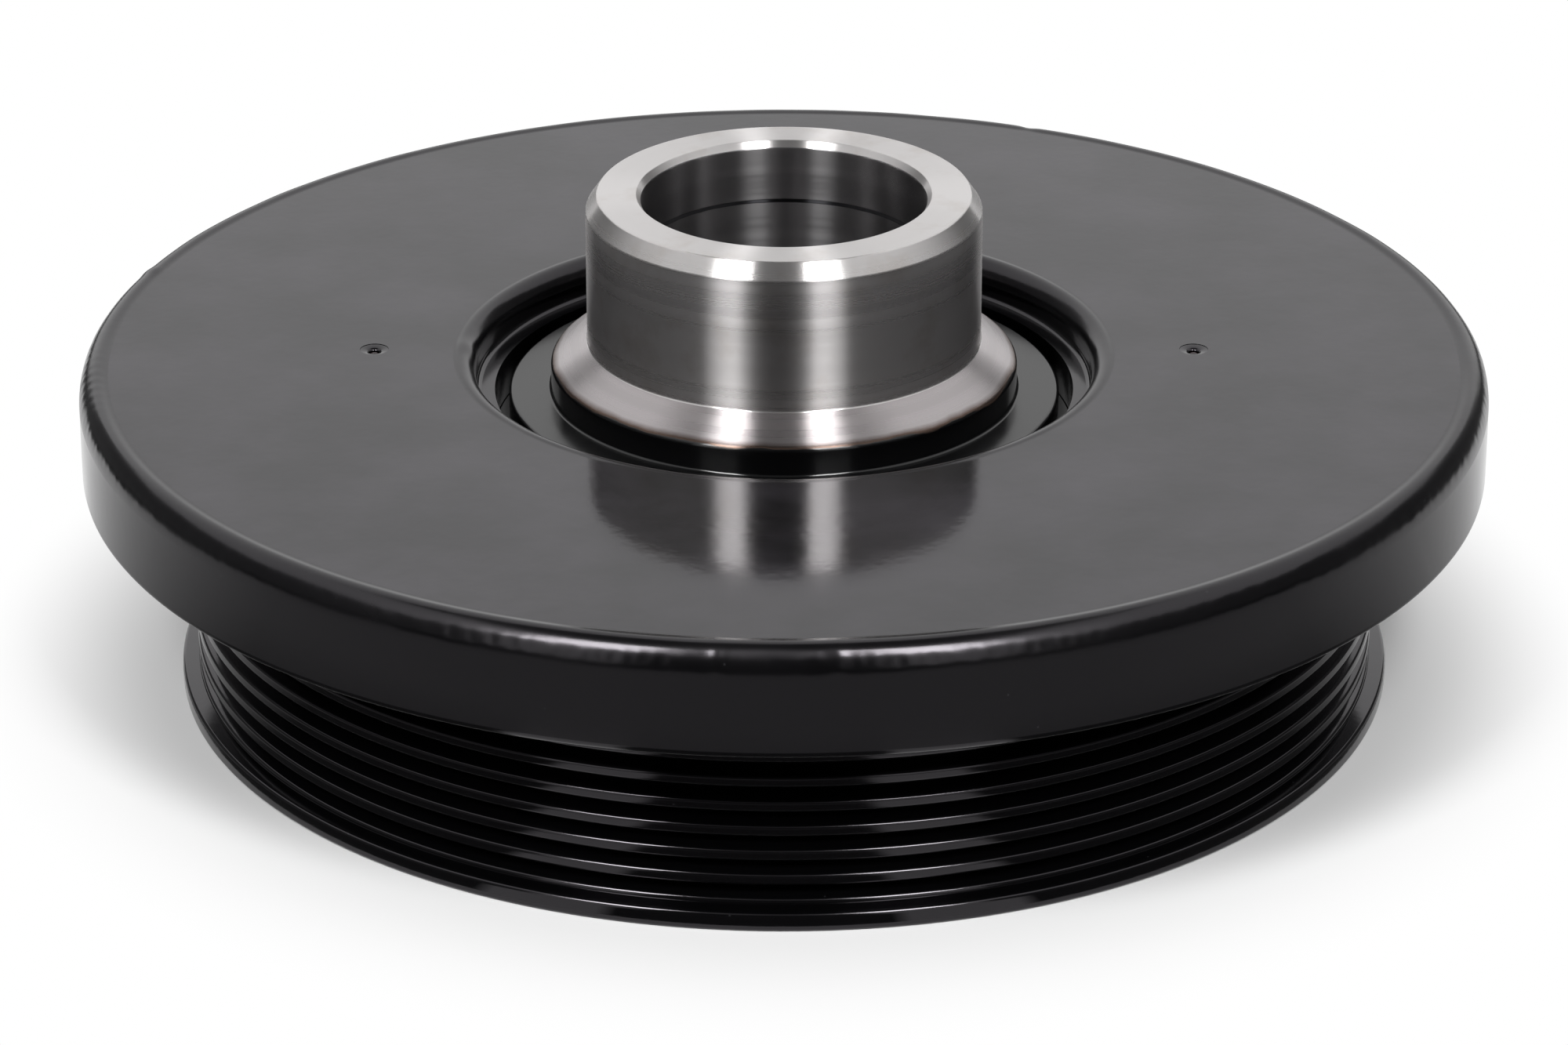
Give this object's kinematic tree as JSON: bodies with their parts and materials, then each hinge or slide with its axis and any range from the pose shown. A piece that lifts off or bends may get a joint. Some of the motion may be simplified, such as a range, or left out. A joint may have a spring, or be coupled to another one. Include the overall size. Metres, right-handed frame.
{
  "type": "harmonic balancer",
  "caption": "Crankshaft harmonic balancer: sealed damper disc with a grooved belt pulley below it and a ground hub snout for the oil seal above.",
  "frame": {"origin": "on the crankshaft axis, in the plane of the pulley's front edge, on which the balancer stands", "axes": "+Z along the crankshaft axis, from the pulley towards the snout and the engine; +X through one fill port"},
  "size_m": [0.1964, 0.1964, 0.07],
  "materials": {
    "black_paint": "gloss black paint with a light orange peel",
    "ground_steel": "ground snout and turned faces, painted black from the collar's side down",
    "inner_steel": "turned all over, not seen",
    "slide_plastic": "plain moulded, not seen"
  },
  "bodies": {
    "root": {"hub": "ground_steel", "damper_housing": "black_paint", "damper_cover": "black_paint", "outer_weld_seam": "black_paint", "inner_weld_seam": "black_paint", "hub_weld_seam": "black_paint", "belt_pulley": "black_paint", "fill_sleeve_left": "black_paint", "fill_sleeve_right": "black_paint", "fill_ball_left": "black_paint", "fill_ball_right": "black_paint", "inertia_ring": "inner_steel", "bearing_bush": "slide_plastic", "lower_slide_ring": "slide_plastic", "upper_slide_ring": "slide_plastic", "pulley_bolt_1": "black_paint", "pulley_bolt_2": "black_paint", "pulley_bolt_3": "black_paint", "pulley_bolt_4": "black_paint", "pulley_bolt_5": "black_paint", "pulley_bolt_6": "black_paint"}
  },
  "joints": []
}
